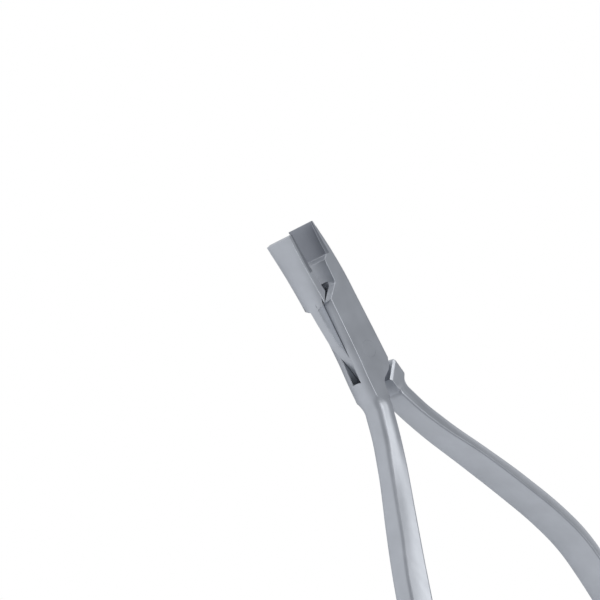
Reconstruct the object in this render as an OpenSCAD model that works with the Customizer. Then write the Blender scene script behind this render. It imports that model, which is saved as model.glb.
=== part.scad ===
// Slim box-joint crimping pliers, lying flat: jaws along +Y, pivot axis along +Z, origin on the
// pivot axis at the joint's lower flat face. The male half's thin tongue passes through a slot in
// the female half. Both halves are drawn closed, then turned apart about the pivot by half of the
// opening each. The female jaw is on the right (+X) and its handle on the left; the male half is
// laid out in the mirror image of that, so that one set of outlines serves both.

/* [Joint] */
// Thickness of the joint between its flat faces
joint_thickness = 6.4; // [5.4:0.1:8]
// Width of the joint's flat face
joint_width = 8.8; // [7.2:0.1:10.8]
// How far the crowned sides stand out past the flat face
side_crown = 0.9; // [0.5:0.1:1.2]
// Thickness of the tongue
tongue_thickness = 2.2; // [1.7:0.05:2.8]
// Running gap on each face of the tongue
tongue_gap = 0.04; // [0.02:0.01:0.08]
// Radius of the tongue's eye around the pivot
eye_radius = 3.9; // [3.2:0.1:4.7]
// Gap between the edge of the tongue and the slot
slot_gap = 0.25; // [0.2:0.05:0.5]
// Radius of the slot's curved floor, below the pivot
floor_radius = 7.9; // [7.6:0.1:8.3]

/* [Pivot pin] */
// Diameter of the pivot pin
pin_d = 3.2; // [2.4:0.1:4]
// Radial running clearance of the pin in the tongue
pin_clearance = 0.03; // [0.02:0.01:0.08]
// How much wider the riveted ends are than the pin
pin_head_growth = 0.8; // [0.4:0.1:1.2]
// Depth of the riveted ends
pin_head_depth = 0.6; // [0.3:0.1:1]

/* [Jaws] */
// Distance from the pivot to the jaw tips
jaw_length = 31; // [27:0.5:38]
// Length of the relieved face behind the tips
relief_length = 8; // [6:0.5:10]
// Depth of the relief in the female jaw
relief_depth = 0.65; // [0.4:0.05:0.9]
// How far the female jaw's heel stands past the middle line
heel_proud = 0.6; // [0.2:0.05:0.7]
// Height of the heel's foot above the pivot
heel_foot = 16.4; // [15:0.2:18]
// Gap left at each tip when the jaws are closed
tip_gap = 0.04; // [0.02:0.01:0.1]
// Thickness of both jaws at their tips
jaw_tip_thickness = 7.3; // [6.2:0.1:8.4]
// Width of the female jaw's flat face at its tip
female_tip_width = 0.9; // [0.75:0.05:1.8]
// Width of the male jaw's flat face at its tip
male_tip_width = 1.45; // [0.9:0.05:1.8]
// How much slimmer the male jaw is than the female one halfway down
male_slimming = 0.5; // [0.3:0.1:0.7]
// Thickness of the hard inserts at their tips
insert_tip = 0.5; // [0.4:0.05:0.6]
// Thickness of the hard inserts at their heels
insert_heel = 1.1; // [0.8:0.1:1.4]

/* [Handles] */
// Distance from the pivot to the handle ends
handle_length = 105; // [85:1:130]
// Distance from the middle line to the inner face, at the widest
handle_spread = 23; // [19:0.1:27.5]
// Height of the handles across their widest part
grip_height = 9.2; // [7.6:0.1:11]
// Thickness of the handles across their thickest part
grip_width = 5; // [4.5:0.1:6]
// Length of the rounding at the handle ends
end_rounding = 3.2; // [2:0.1:5]

/* [Pose] */
// Angle between the jaws as drawn
rest_opening = 13.5; // [0:0.5:28]

/* [Hidden] */

steel = [0.72, 0.73, 0.75];
insert_steel = [0.66, 0.67, 0.70];
pin_steel = [0.76, 0.77, 0.79];

mid = joint_thickness / 2;
half_width = joint_width / 2;
slot_thickness = tongue_thickness + 2 * tongue_gap;
beyond = 60;                    // how far a cutting outline runs past the steel
neck_y = -13;                   // where the joint has become a handle
shoulder_y = -9.8;              // lower end of the joint's flat face
// Each half's lower wall: distance from the middle line, and height
lower_wall = [[0.35, -9.4], [0.43, -10.6], [0.55, -11.6], [0.72, neck_y]];
ramp_slope = 0.8;               // slope of the female half's ramp under its heel
relief_y = jaw_length - relief_length;
relief_steps = 5;
quarter_steps = 6;              // steps in a quarter of a cross-section
arc_step = 4;                   // angle between the points of an arc
true_round = 96;

// ---- Smooth curves through a few rows ------------------------------------------------------

// Slope between rows i and i + 1 of a table whose first column falls
function rise(t, i, c) = (t[i + 1][c] - t[i][c]) / (t[i + 1][0] - t[i][0]);

// Slope at row i: zero at a peak, and never so steep that the curve overshoots its rows
function slope(t, i, c) =
    i == 0 ? rise(t, 0, c) :
    i == len(t) - 1 ? rise(t, i - 1, c) :
    let (a = rise(t, i - 1, c), b = rise(t, i, c),
         ha = abs(t[i][0] - t[i - 1][0]), hb = abs(t[i + 1][0] - t[i][0]),
         m = (a * hb + b * ha) / (ha + hb), cap = 3 * min(abs(a), abs(b)))
    a * b <= 0 ? 0 : sign(m) * min(abs(m), cap);

function row_below(t, y, i = 0) = i >= len(t) - 2 || y >= t[i + 1][0] ? i : row_below(t, y, i + 1);

// Column c of the table at height y, by a cubic between the two rows around it
function at(t, y, c = 1) =
    let (i = row_below(t, y), h = t[i + 1][0] - t[i][0], s = (y - t[i][0]) / h)
    (2 * s * s * s - 3 * s * s + 1) * t[i][c] + (s * s * s - 2 * s * s + s) * h * slope(t, i, c)
    + (3 * s * s - 2 * s * s * s) * t[i + 1][c] + (s * s * s - s * s) * h * slope(t, i + 1, c);

// ---- Outline of one half, drawn closed, jaw on the right and handle on the left ------------

handle_run = handle_length + neck_y;
function grip_y(share) = neck_y - share * handle_run;

// Tip width, slimming and shoulder of each half
female_arm = [female_tip_width, 0, 0.1];
male_arm = [male_tip_width, male_slimming, 0.65];

// Height, edge of the flat face on the jaw's outer side, and crown of that side
function jaw_side(arm) = [
    [jaw_length, arm[0], 0.5 * side_crown],
    [24, half_width - 1.65 - arm[1], 0.6 * side_crown],
    [17.5, half_width - 0.75 - 1.2 * arm[1], 0.8 * side_crown],
    [11.5, half_width - 0.5, side_crown],
    [0, half_width - 0.05, side_crown],
    [-7, half_width + 0.1, side_crown],
    [-9, half_width - 0.4, 0.5 * side_crown],
    [-11.2, 0.8, 0.3],
    [-11.9, -0.35, 0.1],
    [neck_y, -0.75, 0.1]];

// Height, edge of the flat face on the box's other side, its crown, and how square the crown is
function box_side(arm) = [
    [jaw_length, half_width, side_crown, 2],
    [0, half_width - 0.15, side_crown, 2],
    [-6.3, half_width + arm[2], side_crown, 2],
    [shoulder_y, half_width + arm[2], side_crown, 2],
    [-10.7, half_width - 0.1, 1.1, 1.5],
    [-11.6, half_width - 0.8, 1.6, 1.2],
    [neck_y, 2.7, 2.3, 0.95]];

// Share of the way down the handle, then its inner face as a share of the spread, and its
// thickness across and its height as shares of the largest
grip = [
    [0, 0.03, 0.86, 0.685],
    [0.065, 0.11, 0.86, 0.71],
    [0.13, 0.212, 0.9, 0.765],
    [0.26, 0.462, 0.87, 0.913],
    [0.39, 0.687, 0.98, 0.958],
    [0.53, 0.9, 0.97, 0.99],
    [0.6, 0.973, 0.96, 1],
    [0.67, 1, 0.96, 1],
    [0.74, 0.995, 0.95, 1],
    [0.87, 0.95, 0.92, 0.98],
    [1, 0.85, 0.86, 0.93]];
inner_edge = 0.5;               // rounding along the handle's flat inner face
grip_flat = 0.2;                // flat left between the two roundings of the handle
flare = jaw_tip_thickness / 2 - mid;
mid_jaw_y = (jaw_length + 24) / 2;
height_rows = [
    [jaw_length, mid + flare],
    [mid_jaw_y, mid + 0.49 * flare],
    [24, mid + 0.14 * flare],
    [20, mid],
    [shoulder_y, mid],
    [-11.2, 0.985 * mid],
    [neck_y, grip_height / 2 * grip[0][3]]];

// Upper end of each side as [edge of the flat, crown, power of the crown]
function right_side(y, arm) =
    y >= neck_y
    ? [at(jaw_side(arm), y, 1), at(jaw_side(arm), y, 2), y > -4 ? 2 : 1]
    : [-handle_spread * at_share(y, 1) - inner_edge, inner_edge, 0.3];
function left_side(y, arm) =
    y >= neck_y
    ? [-at(box_side(arm), y, 1), at(box_side(arm), y, 2), at(box_side(arm), y, 3)]
    : let (inner = handle_spread * at_share(y, 1), across = grip_width * at_share(y, 2))
      [-inner - inner_edge - grip_flat, across - inner_edge - grip_flat, 0.9];
function half_height(y) = y >= neck_y ? at(height_rows, y) : grip_height / 2 * at_share(y, 3);

grip_rows = [for (r = grip) [-r[0], r[1], r[2], r[3]]];
function at_share(y, c) = at(grip_rows, (y - neck_y) / handle_run, c);

// One cross-section: a flat top and bottom, and on each side a crown that bulges out from them
function ring(y, arm, shrink = 1) =
    let (r = right_side(y, arm), l = left_side(y, arm), h = half_height(y) * shrink,
         centre = (r[0] + r[1] + l[0] - l[1]) / 2, step = 90 / quarter_steps)
    concat(
        [for (i = [-quarter_steps:quarter_steps]) let (a = i * step)
            [centre + shrink * (r[0] + r[1] * pow(cos(a), r[2]) - centre), y, mid + h * sin(a)]],
        [for (i = [quarter_steps:-1:-quarter_steps]) let (a = i * step)
            [centre + shrink * (l[0] - l[1] * pow(cos(a), l[2]) - centre), y, mid + h * sin(a)]]);

// Heights of the cross-sections: wide apart along the jaw, close at the neck, even on the grip
grip_steps = 22;
end_steps = 4;
jaw_heights = [jaw_length, mid_jaw_y, 24, 20.7, 17.5, 14.5, 11.5];
joint_heights = [6, 0];
neck_heights = [-5, -8, -9, shoulder_y, -10.2, -10.7, -11.2, -11.9, -12.4, neck_y];
last_y = -handle_length + end_rounding;
function jaw_rings(arm) = [for (y = jaw_heights) ring(y, arm)];
function joint_rings(arm) = [for (y = joint_heights) ring(y, arm)];
function handle_rings(arm) = concat(
    [for (y = neck_heights) ring(y, arm)],
    [for (i = [1:grip_steps]) ring(neck_y + (last_y - neck_y) * i / grip_steps, arm)],
    [for (i = [1:end_steps]) let (a = 84 * i / end_steps)
        ring(last_y - end_rounding * sin(a), arm, cos(a))]);

// The same rings for the other half: mirrored, and turned round so that they still face outwards
function mirrored(rings) =
    [for (r = rings) [for (i = [len(r) - 1:-1:0]) [-r[i][0], r[i][1], r[i][2]]]];

// Closed skin over a stack of rings that all have the same number of points
module skin(rings) {
    n = len(rings[0]);
    m = len(rings);
    walls = [for (i = [0:m - 2], j = [0:n - 1], upper = [0, 1])
        let (a = i * n + j, b = i * n + (j + 1) % n, c = a + n, d = b + n)
        upper == 1 ? [a, d, b] : [a, c, d]];
    top = [[for (j = [0:n - 1]) j]];
    bottom = [[for (j = [0:n - 1]) m * n - 1 - j]];
    polyhedron(points = [for (r = rings, p = r) p], faces = concat(walls, top, bottom));
}

// ---- Cutting outlines, seen from above ------------------------------------------------------

// Inner face of the female jaw: relieved tip, bevelled step, heel and ramp
female_relief = [for (i = [0:relief_steps]) let (s = i / relief_steps)
    [tip_gap + relief_depth * pow(s, 1.5), jaw_length - s * relief_length]];
female_heel = [
    [-heel_proud, relief_y - 1],
    [-heel_proud, heel_foot + 0.6],
    [-heel_proud - 0.2, heel_foot]];
function ramp_y(x) = heel_foot + ramp_slope * (x + heel_proud + 0.2);

module female_parting() {
    polygon(concat(
        [[tip_gap, jaw_length + beyond]], female_relief, female_heel,
        [[-half_width - 2, ramp_y(-half_width - 2)], [-beyond, ramp_y(-half_width - 2)],
         [-beyond, jaw_length + beyond]]));
}

// Inner face and slanted foot of the male jaw
male_face = [
    [-tip_gap, jaw_length],
    [-0.5, jaw_length - 5],
    [-0.8, jaw_length - 9.3],
    [-1.05, heel_foot + 1],
    [-1, heel_foot + 0.2],
    [-1.2, heel_foot - 0.05]];
male_foot_slope = 0.75;
function male_foot_y(x) = heel_foot - 0.05 + male_foot_slope * (x + 1.2);

module male_jaw_outline() {
    polygon(concat(
        [[-tip_gap, jaw_length + 1]], male_face,
        [[-beyond, male_foot_y(-beyond)], [-beyond, jaw_length + 1]]));
}

// Right-hand end of the female half's flat faces, curving down to its handle
module female_hip() {
    polygon([
        [beyond, -3.6], [half_width + 0.1, -3.6], [half_width - 0.6, -5.4],
        [half_width - 1.5, -6.2], [1.6, -6.9], [0.5, -7.45], [-0.05, -8.2],
        for (p = lower_wall) [-p[0], p[1]],
        [-lower_wall[3][0], 2 * neck_y], [beyond, 2 * neck_y]]);
}

// Full-thickness part of the male half below its shoulder
shoulder_left = [0.3, -8.5];
shoulder_right = [half_width + 0.5, -6];
module male_shoulder() {
    polygon([
        shoulder_left, shoulder_right, [beyond, -6], [beyond, -handle_length - 1],
        [lower_wall[3][0], -handle_length - 1],
        for (i = [3:-1:0]) lower_wall[i]]);
}

// Points along an arc about the pivot
function arc(r, from, to) =
    let (n = ceil(abs(to - from) / arc_step))
    [for (i = [0:n]) let (a = from + (to - from) * i / n) r * [cos(a), sin(a)]];

// The tongue: an eye round the pivot, a bar up to the male jaw and a foot down to the shoulder
bar_top = [-1.25, heel_foot - 0.8];
bar_edge = half_width + side_crown + 0.15;
foot_radius = floor_radius - slot_gap;
module tongue_outline() {
    polygon(concat(
        [[-1.6, heel_foot + 0.8], bar_top],
        arc(eye_radius, 24, -25),
        [[half_width, -3.2], [half_width + 0.35, -5.6], [half_width - 0.2, -7.8], [1.2, -9.5]],
        arc(foot_radius, -86, -180 + acos((half_width - 0.4) / foot_radius)),
        [[-half_width, -1], [-half_width - 0.5, 2.4], [-bar_edge - 0.05, 4.8],
         [-bar_edge + 0.2, 7.8], [-bar_edge + 0.5, 11], [-bar_edge + 0.9, 14.2],
         [-bar_edge + 1.7, 16.2], [-2.6, heel_foot + 0.8]]));
}

// The slot in the female half, which gives the tongue room from closed to wide open
web_foot = 1.2;
slot_top = [0.5, heel_foot + 0.9];
eye_room = eye_radius + slot_gap;
module slot_outline() {
    polygon(concat(
        [slot_top],
        arc(eye_room, 30, asin(web_foot / eye_room)),
        [[beyond, web_foot], [beyond, -0.5]],
        arc(floor_radius, -4, -176),
        [[-beyond, -0.5], [-beyond, slot_top[1]]]));
}

// Hard insert of each jaw: its working face, and a straight back that slants into the jaw
function insert_back(face, side) = [
    [face[len(face) - 1][0] + side * insert_heel, face[len(face) - 1][1]],
    [face[0][0] + side * insert_tip, face[0][1]]];
module insert_outline(face, side) {
    back = insert_back(face, side);
    polygon(concat(
        [[face[0][0], jaw_length + 1]], face, back, [[back[1][0], jaw_length + 1]]));
}

// The seat that the insert is brazed into, open towards the tip and the other jaw
module insert_seat(face, side) {
    back = insert_back(face, side);
    polygon([
        [-side, back[0][1]], back[0], back[1], [back[1][0], jaw_length + 1],
        [-side, jaw_length + 1]]);
}
male_insert_face = [for (p = male_face) if (p[1] > relief_y - 2) p];

module through(extra = 0) {
    translate([0, 0, -extra]) linear_extrude(joint_thickness + 2 * extra) children();
}

// The pin's shape, with its riveted ends: the same shape is its hole in the cheeks
module pin_shape(extra = 0) {
    head_r = pin_d / 2 + pin_head_growth / 2;
    translate([0, 0, -extra])
        cylinder(d = pin_d, h = joint_thickness + 2 * extra, $fn = true_round);
    cylinder(r1 = head_r, r2 = pin_d / 2, h = pin_head_depth, $fn = true_round);
    translate([0, 0, joint_thickness - pin_head_depth])
        cylinder(r1 = pin_d / 2, r2 = head_r, h = pin_head_depth, $fn = true_round);
}

module turned(direction) rotate([0, 0, direction * rest_opening / 2]) children();

// ---- Sub-parts ------------------------------------------------------------------------------

module female_half() {
    color(steel) turned(-1) difference() {
        skin(concat(
            jaw_rings(female_arm), joint_rings(female_arm), handle_rings(female_arm)));
        through(beyond) female_parting();
        through(beyond) female_hip();
        translate([0, 0, mid - slot_thickness / 2])
            linear_extrude(slot_thickness) slot_outline();
        through(1) insert_seat(female_relief, 1);
        pin_shape();
    }
}

module male_half() {
    color(steel) turned(1) difference() {
        union() {
            intersection() {
                skin(mirrored(jaw_rings(male_arm)));
                through(beyond) male_jaw_outline();
            }
            intersection() {
                skin(mirrored(handle_rings(male_arm)));
                through(beyond) male_shoulder();
            }
            translate([0, 0, mid - tongue_thickness / 2])
                linear_extrude(tongue_thickness) tongue_outline();
        }
        through(1) insert_seat(male_insert_face, -1);
        translate([0, 0, -1]) cylinder(
            r = pin_d / 2 + pin_clearance, h = joint_thickness + 2, $fn = true_round);
    }
}

module pivot_pin() {
    color(pin_steel) turned(-1) pin_shape();
}

module female_tip_insert() {
    color(insert_steel) turned(-1) intersection() {
        skin(jaw_rings(female_arm));
        through(1) insert_outline(female_relief, 1);
    }
}

module male_tip_insert() {
    color(insert_steel) turned(1) intersection() {
        skin(mirrored(jaw_rings(male_arm)));
        through(1) insert_outline(male_insert_face, -1);
    }
}

female_half();
male_half();
pivot_pin();
female_tip_insert();
male_tip_insert();
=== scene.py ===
"""Satin steel crimping pliers with a boxed joint, on a white studio table.

Each half is worked out in millimetres in the closed position, with the pivot axis along Z and the
joint's lower face at height 0. It is a skin over cross-sections that is then cut like the forging:
jaws parted, slot milled, hip and shoulder relieved, edges broken. Each half has its jaw on one side
and its handle on the other: the female jaw is on the right, and the male half's cross-sections are
the mirror image of that. At the end each half is turned about the pivot to the drawn opening.
"""
import math

import bmesh
import bpy
import numpy as np
from mathutils import Matrix, Vector


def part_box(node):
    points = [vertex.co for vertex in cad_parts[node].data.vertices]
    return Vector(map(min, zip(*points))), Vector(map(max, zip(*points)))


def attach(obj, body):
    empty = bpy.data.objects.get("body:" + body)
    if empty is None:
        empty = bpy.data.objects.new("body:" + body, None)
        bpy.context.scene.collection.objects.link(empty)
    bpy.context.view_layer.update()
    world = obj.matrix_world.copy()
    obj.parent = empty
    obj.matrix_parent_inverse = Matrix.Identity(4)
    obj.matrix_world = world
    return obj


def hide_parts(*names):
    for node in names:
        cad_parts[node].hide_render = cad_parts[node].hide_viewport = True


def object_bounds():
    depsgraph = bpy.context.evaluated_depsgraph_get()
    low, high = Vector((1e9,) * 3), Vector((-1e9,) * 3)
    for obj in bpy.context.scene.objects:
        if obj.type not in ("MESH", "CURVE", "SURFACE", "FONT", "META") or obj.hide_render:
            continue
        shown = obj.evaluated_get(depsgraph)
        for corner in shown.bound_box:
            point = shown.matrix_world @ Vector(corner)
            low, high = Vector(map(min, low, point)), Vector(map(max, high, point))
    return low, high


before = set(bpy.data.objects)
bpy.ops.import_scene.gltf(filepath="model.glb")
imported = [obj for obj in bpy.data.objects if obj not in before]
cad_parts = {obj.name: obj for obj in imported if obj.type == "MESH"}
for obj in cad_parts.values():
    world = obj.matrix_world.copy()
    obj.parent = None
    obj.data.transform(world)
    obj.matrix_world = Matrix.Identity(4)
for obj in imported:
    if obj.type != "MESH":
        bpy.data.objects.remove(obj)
cad_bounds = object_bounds()

# ---- Driving sizes, in millimetres ------------------------------------------------------------

MM = 0.001
pin_low, pin_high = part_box("pivot_pin")
PIVOT = Vector(((pin_low.x + pin_high.x) / 2, (pin_low.y + pin_high.y) / 2, 0))
THICKNESS = (pin_high.z - pin_low.z) / MM
MID = THICKNESS / 2
REST_OPENING = 13.5             # degrees between the jaws as drawn
HALF_WIDTH = 4.4                # half of the joint's flat face
SIDE_CROWN = 0.9                # how far the bulging sides stand out past the flat faces
TONGUE = 2.2                    # thickness of the tongue
SLOT = 2.28                     # room for the tongue, with its running gap on each face
EYE_RADIUS = 3.9                # of the tongue round the pivot
SLOT_GAP = 0.25                 # between the tongue's edge and the slot
FLOOR_RADIUS = 7.9              # of the slot's curved floor, below the pivot
PIN_RADIUS = 1.6
PIN_HEAD_RADIUS = 2.0
PIN_HEAD_DEPTH = 0.6
PIN_RIM = 0.03                  # rounding round each end of the pin
BORE_RADIUS = 1.63              # of the tongue's hole for the pin

JAW_LENGTH = 31.0               # from the pivot to the tips
RELIEF_LENGTH = 8.0             # of the hollowed face from the female tip to the step
RELIEF_DEPTH = 0.65
HEEL_PROUD = 0.6                # how far the heel stands past the middle line
HEEL_FOOT = 16.4
MALE_JAW_END = 9.0              # the male jaw's cross-sections stop here, below its foot
TIP_GAP = 0.04                  # left at each tip when the jaws are closed
JAW_TIP_HEIGHT = 7.3            # thickness of both jaws at their tips
FEMALE_TIP = 0.9                # width of the flat face at the tip
MALE_TIP = 1.45
MALE_SLIM = 0.5                 # how much slimmer the male jaw is than the female one
INSERT_TIP = 0.5                # thickness of the hard inserts at their tips and heels
INSERT_HEEL = 1.1

HANDLE_LENGTH = 105.0
HANDLE_SPREAD = 23.0            # from the middle line to the inner face, at the widest
GRIP_HEIGHT = 9.2
GRIP_WIDTH = 5.0
GRIP_EDGE = 0.5                 # rounding along the flat inner face
END_ROUNDING = 3.2
NECK_Y = -13.0                  # where the joint has become a handle
SHOULDER_Y = -9.8               # lower end of the joint's flat face
FEMALE_SHOULDER = 0.1           # how far the shoulder juts out past the joint
MALE_SHOULDER = 0.65
SHOULDER_CHAMFER = 0.55         # width and depth of the slant along the male shoulder's wall
SHOULDER_CHAMFER_DEPTH = 0.6
BEYOND = 60.0                   # how far a cutting outline runs past the steel
CUT_ROOM = 20.0                 # how far a cutter stands above and below the joint

EDGE_BREAK = 0.14               # width of the rounded edges


# ---- Curves and outlines ------------------------------------------------------------------------

def along(rows, heights):
    """Every column of a table at the given heights: a cubic between the two rows around each,
    whose slope at a row is the mean of both sides' slopes, at most three times the flatter one,
    or zero where the column peaks."""
    table = np.array(rows, float)[::-1]
    x, v = table[:, 0], table[:, 1:]
    span = np.diff(x)[:, None]
    rise = np.diff(v, axis=0) / span
    slope = np.empty_like(v)
    slope[0], slope[-1] = rise[0], rise[-1]
    mean = (rise[:-1] * span[1:] + rise[1:] * span[:-1]) / (span[1:] + span[:-1])
    cap = 3 * np.minimum(np.abs(rise[:-1]), np.abs(rise[1:]))
    level = rise[:-1] * rise[1:] <= 0
    slope[1:-1] = np.where(level, 0, np.sign(mean) * np.minimum(np.abs(mean), cap))
    i = np.clip(np.searchsorted(x, heights, side="right") - 1, 0, len(x) - 2)
    h = (x[i + 1] - x[i])[:, None]
    s = (heights - x[i])[:, None] / h
    return ((2 * s**3 - 3 * s**2 + 1) * v[i] + (s**3 - 2 * s**2 + s) * h * slope[i]
            + (3 * s**2 - 2 * s**3) * v[i + 1] + (s**3 - s**2) * h * slope[i + 1])


def arc(radius, start, end, step=2.0):
    """Points along an arc about the pivot, between two angles in degrees."""
    a = np.radians(np.linspace(start, end, int(abs(end - start) / step) + 2))
    return [(radius * math.cos(t), radius * math.sin(t)) for t in a]


def rounded(points, radii, step=12.0):
    """An outline with each corner that has a radius replaced by an arc tangent to both sides."""
    out = []
    for i, (p, r) in enumerate(zip(points, radii)):
        if not r:
            out.append(tuple(p))
            continue
        p = np.array(p, float)
        a = np.array(points[i - 1], float) - p
        b = np.array(points[(i + 1) % len(points)], float) - p
        la, lb = np.linalg.norm(a), np.linalg.norm(b)
        a, b = a / la, b / lb
        half = math.acos(np.clip(a @ b, -1, 1)) / 2
        back = min(r / math.tan(half), 0.45 * la, 0.45 * lb)
        r = back * math.tan(half)
        centre = p + (a + b) / np.linalg.norm(a + b) * r / math.sin(half)
        start, end = p + a * back - centre, p + b * back - centre
        t0, t1 = math.atan2(start[1], start[0]), math.atan2(end[1], end[0])
        turn = (t1 - t0 + math.pi) % (2 * math.pi) - math.pi
        n = max(2, int(abs(math.degrees(turn)) / step) + 1)
        for t in np.linspace(t0, t0 + turn, n + 1):
            out.append((centre[0] + r * math.cos(t), centre[1] + r * math.sin(t)))
    return out


# ---- Cross-sections of one half -----------------------------------------------------------------

def jaw_side(tip, slim):
    """Height, edge of the flat face on the jaw's outer side, its crown, and the crown's power."""
    return [(JAW_LENGTH, tip, 0.5 * SIDE_CROWN, 2),
            (24, HALF_WIDTH - 1.65 - slim, 0.6 * SIDE_CROWN, 2),
            (17.5, HALF_WIDTH - 0.75 - 1.2 * slim, 0.8 * SIDE_CROWN, 2),
            (11.5, HALF_WIDTH - 0.5, SIDE_CROWN, 2),
            (0, HALF_WIDTH - 0.05, SIDE_CROWN, 2),
            (-7, HALF_WIDTH + 0.1, SIDE_CROWN, 2),
            (-9, HALF_WIDTH - 0.4, 0.5 * SIDE_CROWN, 2),
            (-11.2, 0.8, 0.3, 2),
            (-11.9, -0.35, 0.1, 2),
            (NECK_Y, -0.75, 0.1, 2)]


def box_side(shoulder):
    """The same for the side that becomes the handle, whose shoulder juts out by the given width."""
    return [(JAW_LENGTH, HALF_WIDTH, SIDE_CROWN, 2),
            (0, HALF_WIDTH - 0.15, SIDE_CROWN, 2),
            (-6.3, HALF_WIDTH + shoulder, SIDE_CROWN, 2),
            (SHOULDER_Y, HALF_WIDTH + shoulder, SIDE_CROWN, 2),
            (-11.4, 3.9, 1.5, 1.2),
            (NECK_Y, 2.6, 2.6, 1)]


HEIGHTS = [(JAW_LENGTH, JAW_TIP_HEIGHT / 2), (27.5, 1.07 * MID), (24, 1.02 * MID), (20, MID),
           (SHOULDER_Y, MID), (-11.2, 0.985 * MID), (NECK_Y, 0.97 * MID)]
# Share of the way down the handle; then its inner face, thickness across and height as shares of
# the largest, the slope of its roof in degrees, and the radius of its outer edge
GRIP = [(0, 0.03, 0.86, 0.685, 6, 1.9), (0.065, 0.11, 0.86, 0.71, 12, 1.8),
        (0.13, 0.212, 0.9, 0.765, 19, 1.6), (0.26, 0.462, 0.87, 0.913, 27, 1.4),
        (0.39, 0.687, 0.98, 0.958, 27, 1.4), (0.53, 0.9, 0.97, 0.99, 27, 1.4),
        (0.6, 0.973, 0.96, 1, 27, 1.4), (0.67, 1, 0.96, 1, 27, 1.4), (0.74, 0.995, 0.95, 1, 27, 1.4),
        (0.87, 0.95, 0.92, 0.98, 27, 1.4), (1, 0.85, 0.86, 0.93, 26, 1.3)]
ROOF_BULGE = 0.15


def handle_sections(y, steps):
    """Upper half of the handle's section at each height, as (distance outwards, height) points
    from the middle of the flat inner face: a small rounding, a roof that slopes down outwards
    and bulges a little as a parabola, a larger rounding, and the upright outer side."""
    share = np.clip((NECK_Y - y) / (HANDLE_LENGTH + NECK_Y), 0, 1)
    grip = along([(-row[0],) + row[1:] for row in GRIP], -share)
    inner, across = HANDLE_SPREAD * grip[:, 0], GRIP_WIDTH * grip[:, 1]
    high = (GRIP_HEIGHT / 2 * grip[:, 2])[:, None]
    slope, outer = np.radians(grip[:, 3])[:, None], grip[:, 4][:, None]
    across = across[:, None]
    sine, cosine = np.sin(slope), np.cos(slope)
    ridge = high - GRIP_EDGE + GRIP_EDGE * (1 + sine) / cosine
    centre_in = high - GRIP_EDGE
    centre_out = (ridge * cosine - outer - (across - outer) * sine) / cosine
    flat, arc_in, roof, arc_out = 4, steps - 4, steps // 4, steps // 2
    side = steps + 1 - roof - arc_out
    t = np.linspace(0, 1, flat, endpoint=False)[None, :]
    inner_face = np.stack([0 * t * high, t * centre_in], 2)
    turn = math.pi - np.linspace(0, 1, arc_in + 1)[None, :] * (math.pi / 2 + slope)
    inner_arc = np.stack([GRIP_EDGE + GRIP_EDGE * np.cos(turn),
                          centre_in + GRIP_EDGE * np.sin(turn)], 2)
    turn = (math.pi / 2 - slope) * (1 - np.linspace(0, 1, arc_out + 1)[None, :])
    outer_arc = np.stack([across - outer + outer * np.cos(turn),
                          centre_out + outer * np.sin(turn)], 2)
    t = np.linspace(0, 1, roof + 1)[None, 1:-1, None]
    top = inner_arc[:, -1:] * (1 - t) + outer_arc[:, :1] * t
    top[:, :, 1] += (ROOF_BULGE * 4 * t * (1 - t))[:, :, 0]
    t = np.linspace(1, 0, side + 1)[None, 1:]
    outer_side = np.stack([across * np.ones_like(t), centre_out * t], 2)
    return inner, np.concatenate([inner_face, inner_arc, top, outer_arc, outer_side], 1)


def cross_sections(heights, tip, slim, shoulder, shrink=None, steps=20):
    """Grid of points, one closed ring per height. Down to the shoulder each ring has a flat top
    and bottom, and on each side a crown whose width falls from its middle as a power of the
    cosine; below it the ring blends into the handle's section by the neck."""
    y = np.array(heights, float)
    shrink = np.ones_like(y) if shrink is None else np.array(shrink, float)
    joint = np.maximum(y, NECK_Y)
    right, left = along(jaw_side(tip, slim), joint), along(box_side(shoulder), joint)
    tall = along(HEIGHTS, joint)[:, :1]
    angle = np.radians(np.linspace(-90, 90, 2 * steps + 1))
    cosine = np.clip(np.cos(angle), 0, 1)[None, :]
    xr = right[:, :1] + right[:, 1:2] * cosine ** right[:, 2:3]
    xl = -left[:, :1] - left[:, 1:2] * cosine ** left[:, 2:3]
    z = np.sin(angle)[None, :] * tall
    box = np.stack([np.concatenate([xr, xl[:, ::-1]], 1), np.concatenate([z, z[:, ::-1]], 1)], 2)
    inner, half = handle_sections(y, steps)
    out, up = half[:, :steps + 1], half[:, steps + 1:]
    lower = np.array([1, -1])
    near = np.concatenate([(out * lower)[:, :0:-1], out], 1)
    far = np.concatenate([up, (up * lower)[:, -2::-1]], 1)
    ring = np.concatenate([near, far], 1)
    handle = np.stack([-inner[:, None] - ring[:, :, 0], ring[:, :, 1]], 2)
    blend = np.clip((SHOULDER_Y - y) / (SHOULDER_Y - NECK_Y), 0, 1)
    blend = (blend * blend * (3 - 2 * blend))[:, None, None]
    section = box * (1 - blend) + handle * blend
    centre = (section.min(1) + section.max(1))[:, None, :] / 2
    section = centre + (section - centre) * shrink[:, None, None]
    depth = np.broadcast_to(y[:, None], section.shape[:2])
    return np.stack([section[:, :, 0], depth, MID + section[:, :, 1]], 2)


JAW_HEIGHTS = np.linspace(JAW_LENGTH, -5, 25)


def handle_rings(tip, slim, shoulder):
    """Cross-sections from the joint's lower end to the rounded handle end."""
    last = -HANDLE_LENGTH + END_ROUNDING
    neck = np.linspace(-5.5, -9.4, 6)
    scoop = np.linspace(-9.6, NECK_Y - 1, 32)
    handle = np.linspace(NECK_Y - 1.6, last, 96)
    turn = np.radians(np.linspace(6, 88, 14))
    heights = np.concatenate([neck, scoop, handle, last - END_ROUNDING * np.sin(turn)])
    shrink = np.concatenate([np.ones(len(neck) + len(scoop) + len(handle)), np.cos(turn)])
    return cross_sections(heights, tip, slim, shoulder, shrink)


# ---- Meshes ----------------------------------------------------------------------------------------

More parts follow.
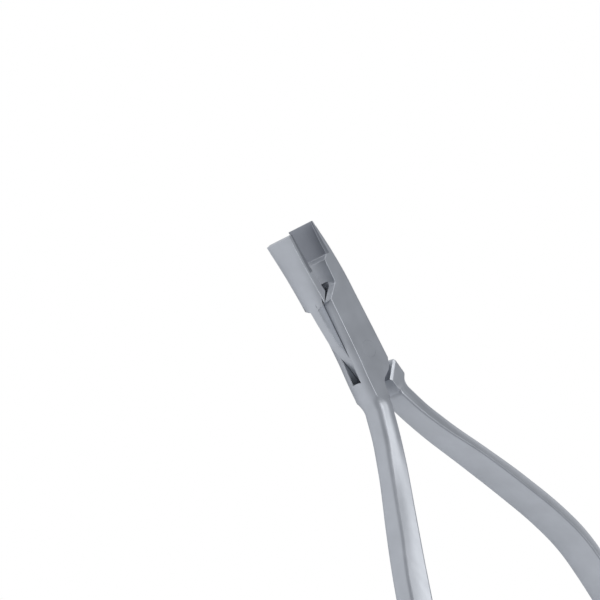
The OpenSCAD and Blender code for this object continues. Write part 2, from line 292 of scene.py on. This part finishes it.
def new_object(name, vertices, faces):
    mesh = bpy.data.meshes.new(name)
    mesh.from_pydata(np.asarray(vertices, float).tolist(), [], faces)
    mesh.validate()
    obj = bpy.data.objects.new(name, mesh)
    bpy.context.scene.collection.objects.link(obj)
    return obj


def skin(name, grid, mirrored=False):
    """Closed skin over a grid of rings: point j of ring i is joined to its neighbours j + 1 and
    i + 1 by a four-sided face, with one flat face over each end. Mirrored, every x is reversed."""
    rings, n, _ = grid.shape
    points = grid.reshape(-1, 3).copy()
    i, j = np.meshgrid(np.arange(rings - 1), np.arange(n), indexing="ij")
    a, b = i * n + j, i * n + (j + 1) % n
    walls = np.stack([a, b, b + n, a + n], 2).reshape(-1, 4).tolist()
    faces = walls + [list(range(n))[::-1], list(range((rings - 1) * n, rings * n))]
    if mirrored:
        points[:, 0] *= -1
    obj = new_object(name, points, faces)
    face_outwards(obj)
    return obj


def prism(name, outline, low=-CUT_ROOM, high=THICKNESS + CUT_ROOM):
    """Straight block: the plan outline at two heights, joined point to point."""
    plan = np.array(outline, float)
    rings = [np.column_stack([plan, np.full(len(plan), z)]) for z in (low, high)]
    return skin(name, np.stack(rings))


def turned_solid(name, profile, segments=96):
    """Solid of revolution about the pivot axis: each (radius, height) point of the profile
    becomes the ring (radius cos t, radius sin t, height), for t all the way round."""
    radius, height = np.array(profile, float).T[:, :, None]
    t = np.linspace(0, 2 * math.pi, segments, endpoint=False)[None, :]
    return skin(name, np.stack([radius * np.cos(t), radius * np.sin(t), height + 0 * t], 2))


def face_outwards(obj):
    """Merges points that coincide, and turns every face of the closed shape outwards."""
    bm = bmesh.new()
    bm.from_mesh(obj.data)
    bmesh.ops.remove_doubles(bm, verts=bm.verts, dist=1e-5)
    bmesh.ops.recalc_face_normals(bm, faces=bm.faces)
    bm.to_mesh(obj.data)
    bm.free()


def settle(obj):
    """Replaces the object's mesh with what its modifiers make of it."""
    bpy.context.view_layer.update()
    graph = bpy.context.evaluated_depsgraph_get()
    mesh = bpy.data.meshes.new_from_object(obj.evaluated_get(graph))
    obj.modifiers.clear()
    old = obj.data
    obj.data = mesh
    bpy.data.meshes.remove(old)


def combine(obj, other, operation, keep=False):
    """Cuts obj by other, joins them, or keeps what they share."""
    modifier = obj.modifiers.new("combine", "BOOLEAN")
    modifier.operation = operation
    modifier.solver = "MANIFOLD"
    modifier.object = other
    settle(obj)
    if not keep:
        bpy.data.objects.remove(other)
    return obj


def cleaned(obj):
    """Merges doubled points and the flat faces that lie in one plane."""
    bm = bmesh.new()
    bm.from_mesh(obj.data)
    bmesh.ops.remove_doubles(bm, verts=bm.verts, dist=2e-3)
    bmesh.ops.dissolve_degenerate(bm, edges=bm.edges, dist=2e-3)
    bmesh.ops.dissolve_limit(bm, angle_limit=math.radians(0.2), verts=bm.verts, edges=bm.edges)
    bm.to_mesh(obj.data)
    bm.free()


def break_edges(obj, width=EDGE_BREAK, angle=26):
    """Rounds every sharp edge a little, as tumbling and hand finishing do."""
    modifier = obj.modifiers.new("edges", "BEVEL")
    modifier.width = width
    modifier.segments = 3
    modifier.limit_method = "ANGLE"
    modifier.angle_limit = math.radians(angle)
    modifier.use_clamp_overlap = False
    modifier.miter_outer = "MITER_ARC"
    settle(obj)


def place(obj, degrees):
    """Turns a finished solid about the pivot to the drawn opening, and brings it to metres."""
    turn = Matrix.Rotation(math.radians(degrees), 4, "Z")
    obj.data.transform(Matrix.Translation(PIVOT) @ Matrix.Scale(MM, 4) @ turn)
    obj.data.polygons.foreach_set("use_smooth", np.ones(len(obj.data.polygons), bool))
    obj.data.set_sharp_from_angle(angle=math.radians(40))
    modifier = obj.modifiers.new("flat faces stay flat", "WEIGHTED_NORMAL")
    modifier.keep_sharp = True
    modifier.weight = 100
    settle(obj)


# ---- Outlines that cut the halves, seen from above ------------------------------------------------

RELIEF_Y = JAW_LENGTH - RELIEF_LENGTH
relief = [(TIP_GAP + RELIEF_DEPTH * s**1.5, JAW_LENGTH - s * RELIEF_LENGTH)
          for s in np.linspace(0, 1, 10)]


def ramp_y(x):
    """Height of the straight ramp under the heel: it climbs 0.8 for each step to the right."""
    return HEEL_FOOT + 0.8 * (x + HEEL_PROUD + 0.2)


def female_parting():
    """The female jaw's relieved tip, bevelled step, heel and ramp."""
    far_x = -HALF_WIDTH - 2
    points = [(TIP_GAP, JAW_LENGTH + 20)] + relief + [
        (-HEEL_PROUD, RELIEF_Y - 1), (-HEEL_PROUD, HEEL_FOOT + 0.6), (-HEEL_PROUD - 0.2, HEEL_FOOT),
        (far_x, ramp_y(far_x)), (-BEYOND, ramp_y(far_x)), (-BEYOND, JAW_LENGTH + 20)]
    radii = [0] * len(relief) + [0.45, 0.25, 1.0, 0.8, 0, 0, 0]
    return rounded(points, radii)


# The male jaw's working face, from its tip down to its foot
MALE_FACE = [(-TIP_GAP, JAW_LENGTH), (-0.5, JAW_LENGTH - 5), (-0.8, JAW_LENGTH - 9.3),
             (-1.05, HEEL_FOOT + 1)]


def male_jaw():
    """The male jaw's working face and its slanted foot."""
    foot = HEEL_FOOT - 0.05
    points = [(-TIP_GAP, JAW_LENGTH + 1)] + MALE_FACE + [
        (-1.1, foot), (-BEYOND, foot + 0.75 * (1.1 - BEYOND)), (-BEYOND, JAW_LENGTH + 1)]
    return rounded(points, [0, 0, 0, 0, 0, 0.3, 0, 0])


# Each half's lower wall, from the joint to where the handle's own inner face takes over
LOWER_WALL = [(0.35, -9.4), (0.43, -10.6), (0.55, -11.6), (0.72, NECK_Y)]


def female_hip():
    """The right-hand end of the cheeks, which curves down to the handle."""
    points = [(BEYOND, -3.6), (HALF_WIDTH + 0.1, -3.6), (HALF_WIDTH - 0.6, -5.4),
              (HALF_WIDTH - 1.5, -6.2), (1.6, -6.9), (0.5, -7.45), (-0.05, -8.2),
              *[(-x, y) for x, y in LOWER_WALL], (-LOWER_WALL[-1][0], 2 * NECK_Y), (BEYOND, 2 * NECK_Y)]
    return rounded(points, [0, 0.6, 0.8, 1.5, 2, 1.2, 1.2, 2] + [0] * (len(LOWER_WALL) + 1))


# The two ends of the male half's slanted shoulder wall
SHOULDER_LEFT = (0.3, -8.5)
SHOULDER_RIGHT = (HALF_WIDTH + 0.5, -6)


def male_shoulder():
    """The full-thickness part of the male half, below its slanted shoulder wall."""
    foot = -HANDLE_LENGTH - 1
    return [SHOULDER_LEFT, SHOULDER_RIGHT, (BEYOND, -6), (BEYOND, foot),
            (LOWER_WALL[-1][0], foot)] + LOWER_WALL[::-1]


def tongue():
    """An eye round the pivot, a bar up to the male jaw and a foot down to the shoulder."""
    edge = HALF_WIDTH + SIDE_CROWN + 0.15
    foot = FLOOR_RADIUS - SLOT_GAP
    return ([(-1.6, HEEL_FOOT + 0.8), (-1.25, HEEL_FOOT - 0.8)] + arc(EYE_RADIUS, 24, -25)
            + [(HALF_WIDTH, -3.2), (HALF_WIDTH + 0.35, -5.6), (HALF_WIDTH - 0.2, -7.8), (1.2, -9.5)]
            + arc(foot, -86, -180 + math.degrees(math.acos((HALF_WIDTH - 0.4) / foot)))
            + [(-HALF_WIDTH, -1), (-HALF_WIDTH - 0.5, 2.4), (-edge - 0.05, 4.8), (-edge + 0.2, 7.8),
               (-edge + 0.5, 11), (-edge + 0.9, 14.2), (-edge + 1.7, 16.2), (-2.6, HEEL_FOOT + 0.8)])


def slot():
    """The room that the tongue needs between the cheeks, from closed to wide open."""
    room, web_foot, top = EYE_RADIUS + SLOT_GAP, 1.2, HEEL_FOOT + 0.9
    return ([(0.5, top)] + arc(room, 30, math.degrees(math.asin(web_foot / room)))
            + [(BEYOND, web_foot), (BEYOND, -0.5)] + arc(FLOOR_RADIUS, -4, -176)
            + [(-BEYOND, -0.5), (-BEYOND, top)])


def insert_seat(face, side):
    """The seat of a jaw's hard insert, open towards the tip and the other jaw."""
    foot, tip = face[-1], face[0]
    return [(-side, foot[1]), (foot[0] + side * INSERT_HEEL, foot[1]),
            (tip[0] + side * INSERT_TIP, tip[1]), (tip[0] + side * INSERT_TIP, JAW_LENGTH + 1),
            (-side, JAW_LENGTH + 1)]


# ---- The two halves ---------------------------------------------------------------------------------

def chamfer_shoulder(half):
    """Cuts a slanted chamfer along the upper and lower edges of the male shoulder's wall, with a
    three-sided wedge each: its slant passes through the chamfer's depth on the wall and its width
    on the flat face, and it overshoots both ends and the face."""
    start, end = np.array(SHOULDER_LEFT), np.array(SHOULDER_RIGHT)
    way = (end - start) / np.linalg.norm(end - start)
    into = np.array([way[1], -way[0]])
    rise = SHOULDER_CHAMFER_DEPTH / SHOULDER_CHAMFER
    section = np.array([(-1, -SHOULDER_CHAMFER_DEPTH - rise), (-1, 2),
                        (SHOULDER_CHAMFER + 2 / rise, 2)])
    ends = np.stack([start - 2 * way, end + 2 * way])
    plan = ends[:, None, :] + section[None, :, :1] * into
    for face, upwards in ((THICKNESS, 1), (0, -1)):
        z = np.broadcast_to(face + upwards * section[:, 1], plan.shape[:2])
        wedge = skin("shoulder_wedge", np.concatenate([plan, z[:, :, None]], 2))
        combine(half, wedge, "DIFFERENCE")


def split_insert(half, name, face, side):
    """Parts the hard insert from a finished jaw along its seat."""
    seat = prism("seat", insert_seat(face, side))
    insert = half.copy()
    insert.data = half.data.copy()
    insert.name = name
    bpy.context.scene.collection.objects.link(insert)
    combine(insert, seat, "INTERSECT", keep=True)
    combine(half, seat, "DIFFERENCE")
    return insert


def female_pieces():
    """The boxed half and its insert: jaw, cheeks and handle in one skin, then parted and slotted."""
    jaw = cross_sections(JAW_HEIGHTS, FEMALE_TIP, 0, FEMALE_SHOULDER)
    rings = np.concatenate([jaw, handle_rings(FEMALE_TIP, 0, FEMALE_SHOULDER)])
    half = skin("female_half_body", rings)
    combine(half, prism("parting", female_parting()), "DIFFERENCE")
    combine(half, prism("hip", female_hip()), "DIFFERENCE")
    combine(half, prism("slot", slot(), MID - SLOT / 2, MID + SLOT / 2), "DIFFERENCE")
    cleaned(half)
    break_edges(half)
    hole = [(PIN_HEAD_RADIUS, -0.5), (PIN_HEAD_RADIUS, 0), (PIN_RADIUS, PIN_HEAD_DEPTH),
            (PIN_RADIUS, THICKNESS - PIN_HEAD_DEPTH), (PIN_HEAD_RADIUS, THICKNESS),
            (PIN_HEAD_RADIUS, THICKNESS + 0.5)]
    combine(half, turned_solid("pin_hole", hole), "DIFFERENCE")
    insert = split_insert(half, "female_insert", relief, 1)
    return half, insert


def male_pieces():
    """The tongued half and its insert: a jaw, and a shoulder with the handle, on one thin tongue."""
    jaw = cross_sections(JAW_HEIGHTS[JAW_HEIGHTS > MALE_JAW_END], MALE_TIP, MALE_SLIM, MALE_SHOULDER)
    half = skin("male_half_body", jaw, True)
    combine(half, prism("jaw", male_jaw()), "INTERSECT")
    lower = skin("lower", handle_rings(MALE_TIP, MALE_SLIM, MALE_SHOULDER), True)
    combine(lower, prism("shoulder", male_shoulder()), "INTERSECT")
    chamfer_shoulder(lower)
    combine(half, lower, "UNION")
    bar = prism("bar", tongue(), MID - TONGUE / 2, MID + TONGUE / 2)
    combine(half, bar, "UNION")
    cleaned(half)
    break_edges(half)
    bore = [(BORE_RADIUS, -1), (BORE_RADIUS, THICKNESS + 1)]
    combine(half, turned_solid("bore", bore), "DIFFERENCE")
    face = [p for p in MALE_FACE if p[1] > RELIEF_Y - 2]
    insert = split_insert(half, "male_insert", face, -1)
    return half, insert


def finished_pin():
    """Rivet with both ends spread into the cheeks and dressed flush, their rims a hair rounded."""
    end = [(PIN_HEAD_RADIUS - PIN_RIM, 0), (PIN_HEAD_RADIUS - PIN_RIM / 3, PIN_RIM)]
    neck = [(PIN_RADIUS, PIN_HEAD_DEPTH), (PIN_RADIUS, MID)]
    half = end + neck
    return turned_solid("riveted_pin", half + [(r, THICKNESS - z) for r, z in half[-2::-1]])


# ---- Materials ---------------------------------------------------------------------------------------

def satin_steel(name, colour, roughness, grain=1.0):
    """Fine bead-blasted steel with faint lengthwise polishing marks and handling smudges."""
    material = bpy.data.materials.new(name)
    material.use_nodes = True
    nodes, links = material.node_tree.nodes, material.node_tree.links
    shader = nodes["Principled BSDF"]
    shader.inputs["Metallic"].default_value = 1.0
    place_in = nodes.new("ShaderNodeTexCoord")

    def noise(scale, detail, stretch=(1, 1, 1)):
        mapping = nodes.new("ShaderNodeMapping")
        mapping.inputs["Scale"].default_value = stretch
        links.new(place_in.outputs["Object"], mapping.inputs["Vector"])
        texture = nodes.new("ShaderNodeTexNoise")
        texture.inputs["Scale"].default_value = scale
        texture.inputs["Detail"].default_value = detail
        links.new(mapping.outputs["Vector"], texture.inputs["Vector"])
        return texture.outputs["Fac"]

    def ramp(value, low, high, a, b):
        node = nodes.new("ShaderNodeMapRange")
        node.inputs["From Min"].default_value = low
        node.inputs["From Max"].default_value = high
        node.inputs["To Min"].default_value = a
        node.inputs["To Max"].default_value = b
        links.new(value, node.inputs["Value"])
        return node.outputs["Result"]

    smudge = noise(180, 4)
    speckle = noise(9000, 2)
    brushed = noise(1500, 3, (1, 0.06, 1))
    mix = nodes.new("ShaderNodeMix")
    mix.data_type = "RGBA"
    mix.inputs["A"].default_value = (*[0.94 * c for c in colour], 1)
    mix.inputs["B"].default_value = (*[min(1, 1.05 * c) for c in colour], 1)
    links.new(ramp(smudge, 0.3, 0.7, 0, 1), mix.inputs["Factor"])
    links.new(mix.outputs["Result"], shader.inputs["Base Color"])
    total = nodes.new("ShaderNodeMath")
    total.operation = "ADD"
    links.new(ramp(smudge, 0.3, 0.7, roughness - 0.03, roughness + 0.03), total.inputs[0])
    links.new(ramp(brushed, 0.3, 0.7, -0.025, 0.025), total.inputs[1])
    links.new(total.outputs["Value"], shader.inputs["Roughness"])
    surface = nodes.new("ShaderNodeMath")
    surface.operation = "ADD"
    links.new(ramp(speckle, 0, 1, 0, 0.6), surface.inputs[0])
    links.new(ramp(brushed, 0, 1, 0, 0.4), surface.inputs[1])
    bump = nodes.new("ShaderNodeBump")
    bump.inputs["Strength"].default_value = 0.12 * grain
    bump.inputs["Distance"].default_value = 0.00002
    links.new(surface.outputs["Value"], bump.inputs["Height"])
    links.new(bump.outputs["Normal"], shader.inputs["Normal"])
    return material


def dress(obj, material, body, node):
    """Gives a finished piece its steel and its body, and hides the CAD solid that it stands for."""
    obj.data.materials.clear()
    obj.data.materials.append(material)
    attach(obj, body)
    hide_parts(node)


body_steel = satin_steel("satin_steel", (0.555, 0.575, 0.61), 0.4)
# The hard inserts' steel: their own darker ground grey, and partly painted shade, made darker still to
# stand in for the shadow in the pocket between the jaws
insert_steel_and_painted_shade = satin_steel("insert_tone_with_painted_pocket_shade", (0.32, 0.335, 0.37), 0.36, 0.7)
pin_steel = satin_steel("pin_steel", (0.555, 0.575, 0.61), 0.4)

female_half, female_insert = female_pieces()
pivot_pin = finished_pin()
male_half, male_insert = male_pieces()
for piece in (female_half, female_insert, pivot_pin):
    place(piece, -REST_OPENING / 2)
for piece in (male_half, male_insert):
    place(piece, REST_OPENING / 2)
dress(female_half, body_steel, "female_arm", "female_half")
dress(female_insert, insert_steel_and_painted_shade, "female_arm", "female_tip_insert")
dress(male_half, body_steel, "male_arm", "male_half")
dress(male_insert, insert_steel_and_painted_shade, "male_arm", "male_tip_insert")
dress(pivot_pin, pin_steel, "female_arm", "pivot_pin")

# ---- Studio: white table, soft light and the camera ---------------------------------------------------

FLOOR_SIZE = 6.0                # half of the table's side, in metres
FLOOR_TONE = (0.9, 0.905, 0.915)
FLOOR_GLOW = 0.22
ROOM_TONE = (0.95, 0.98, 1.03)
ROOM_GLOW = 0.42

low = Vector(cad_bounds[0])
corners = FLOOR_SIZE * np.array([(-1, -1, 0), (1, -1, 0), (1, 1, 0), (-1, 1, 0)])
floor = new_object("floor", corners + [0, 0, low.z], [[0, 1, 2, 3]])


def bright_to_eye(tree, output, glow, tone):
    """Plain white where it is seen directly, and a dimmer studio tone in what the steel mirrors.
    Clears the tree, and returns the node that gives the dimmer tone."""
    nodes, links = tree.nodes, tree.links
    nodes.clear()
    out = nodes.new(output)
    seen, mirrored = nodes.new(glow), nodes.new(tone)
    seen.inputs["Color"].default_value = (1, 1, 1, 1)
    seen.inputs["Strength"].default_value = 1.0
    path, mix = nodes.new("ShaderNodeLightPath"), nodes.new("ShaderNodeMixShader")
    links.new(path.outputs["Is Camera Ray"], mix.inputs[0])
    links.new(mirrored.outputs[0], mix.inputs[1])
    links.new(seen.outputs[0], mix.inputs[2])
    links.new(mix.outputs[0], out.inputs["Surface"])
    return mirrored


white = bpy.data.materials.new("white_table")
white.use_nodes = True
paint = bright_to_eye(white.node_tree, "ShaderNodeOutputMaterial", "ShaderNodeEmission",
                      "ShaderNodeBsdfPrincipled")
paint.inputs["Base Color"].default_value = (*FLOOR_TONE, 1)
paint.inputs["Emission Color"].default_value = (*FLOOR_TONE, 1)
paint.inputs["Emission Strength"].default_value = FLOOR_GLOW
floor.data.materials.append(white)

world = bpy.data.worlds.new("studio")
bpy.context.scene.world = world
world.use_nodes = True
room = bright_to_eye(world.node_tree, "ShaderNodeOutputWorld", "ShaderNodeBackground",
                     "ShaderNodeBackground")
room.inputs["Color"].default_value = (*[ROOM_GLOW * c for c in ROOM_TONE], 1)


def softbox(name, tilt, turn, distance, size, power):
    """Square area light that faces the joint from the given tilt off the vertical, in degrees,
    and the given turn about it from the joint's left side."""
    tilt, turn = math.radians(tilt), math.radians(turn)
    away = Vector((-math.sin(tilt) * math.cos(turn), math.sin(tilt) * math.sin(turn),
                   math.cos(tilt)))
    data = bpy.data.lights.new(name, "AREA")
    data.shape = "SQUARE"
    data.size = size
    data.energy = power
    light = bpy.data.objects.new(name, data)
    light.location = PIVOT + away * distance
    light.rotation_euler = away.to_track_quat("Z", "Y").to_euler()
    bpy.context.scene.collection.objects.link(light)


softbox("overhead", 0, 0, 0.6, 0.45, 0.8)
softbox("tip_side", 62, 88, 0.6, 0.3, 0.5)

# The camera looks across the female half from its handle's side
TILT = math.radians(48)         # from straight above
ROLL = math.radians(25.6)
DISTANCE = 550 * MM
LEFT_OF_PIVOT = 13.17           # where the camera aims, in its own picture plane
ABOVE_PIVOT = 11.76
turn = Matrix.Rotation(math.radians(-REST_OPENING / 2), 3, "Z")
toward = turn @ Vector((-math.sin(TILT), 0, math.cos(TILT)))
across = turn @ Vector((math.cos(TILT), 0, math.sin(TILT)))
up_jaw = turn @ Vector((0, 1, 0))
right = across * math.cos(ROLL) - up_jaw * math.sin(ROLL)
up = across * math.sin(ROLL) + up_jaw * math.cos(ROLL)
aim = up * ABOVE_PIVOT - right * LEFT_OF_PIVOT
target = PIVOT + (Vector((0, 0, MID)) + aim) * MM
camera_data = bpy.data.cameras.new("camera")
camera_data.sensor_width = 36
camera_data.lens = 148.5
camera_data.clip_start = 0.01
camera = bpy.data.objects.new("camera", camera_data)
camera.matrix_world = Matrix.Translation(target + toward * DISTANCE) @ Matrix(
    (right, up, toward)).transposed().to_4x4()
bpy.context.scene.collection.objects.link(camera)
bpy.context.scene.camera = camera
bpy.context.scene.view_settings.view_transform = "Standard"
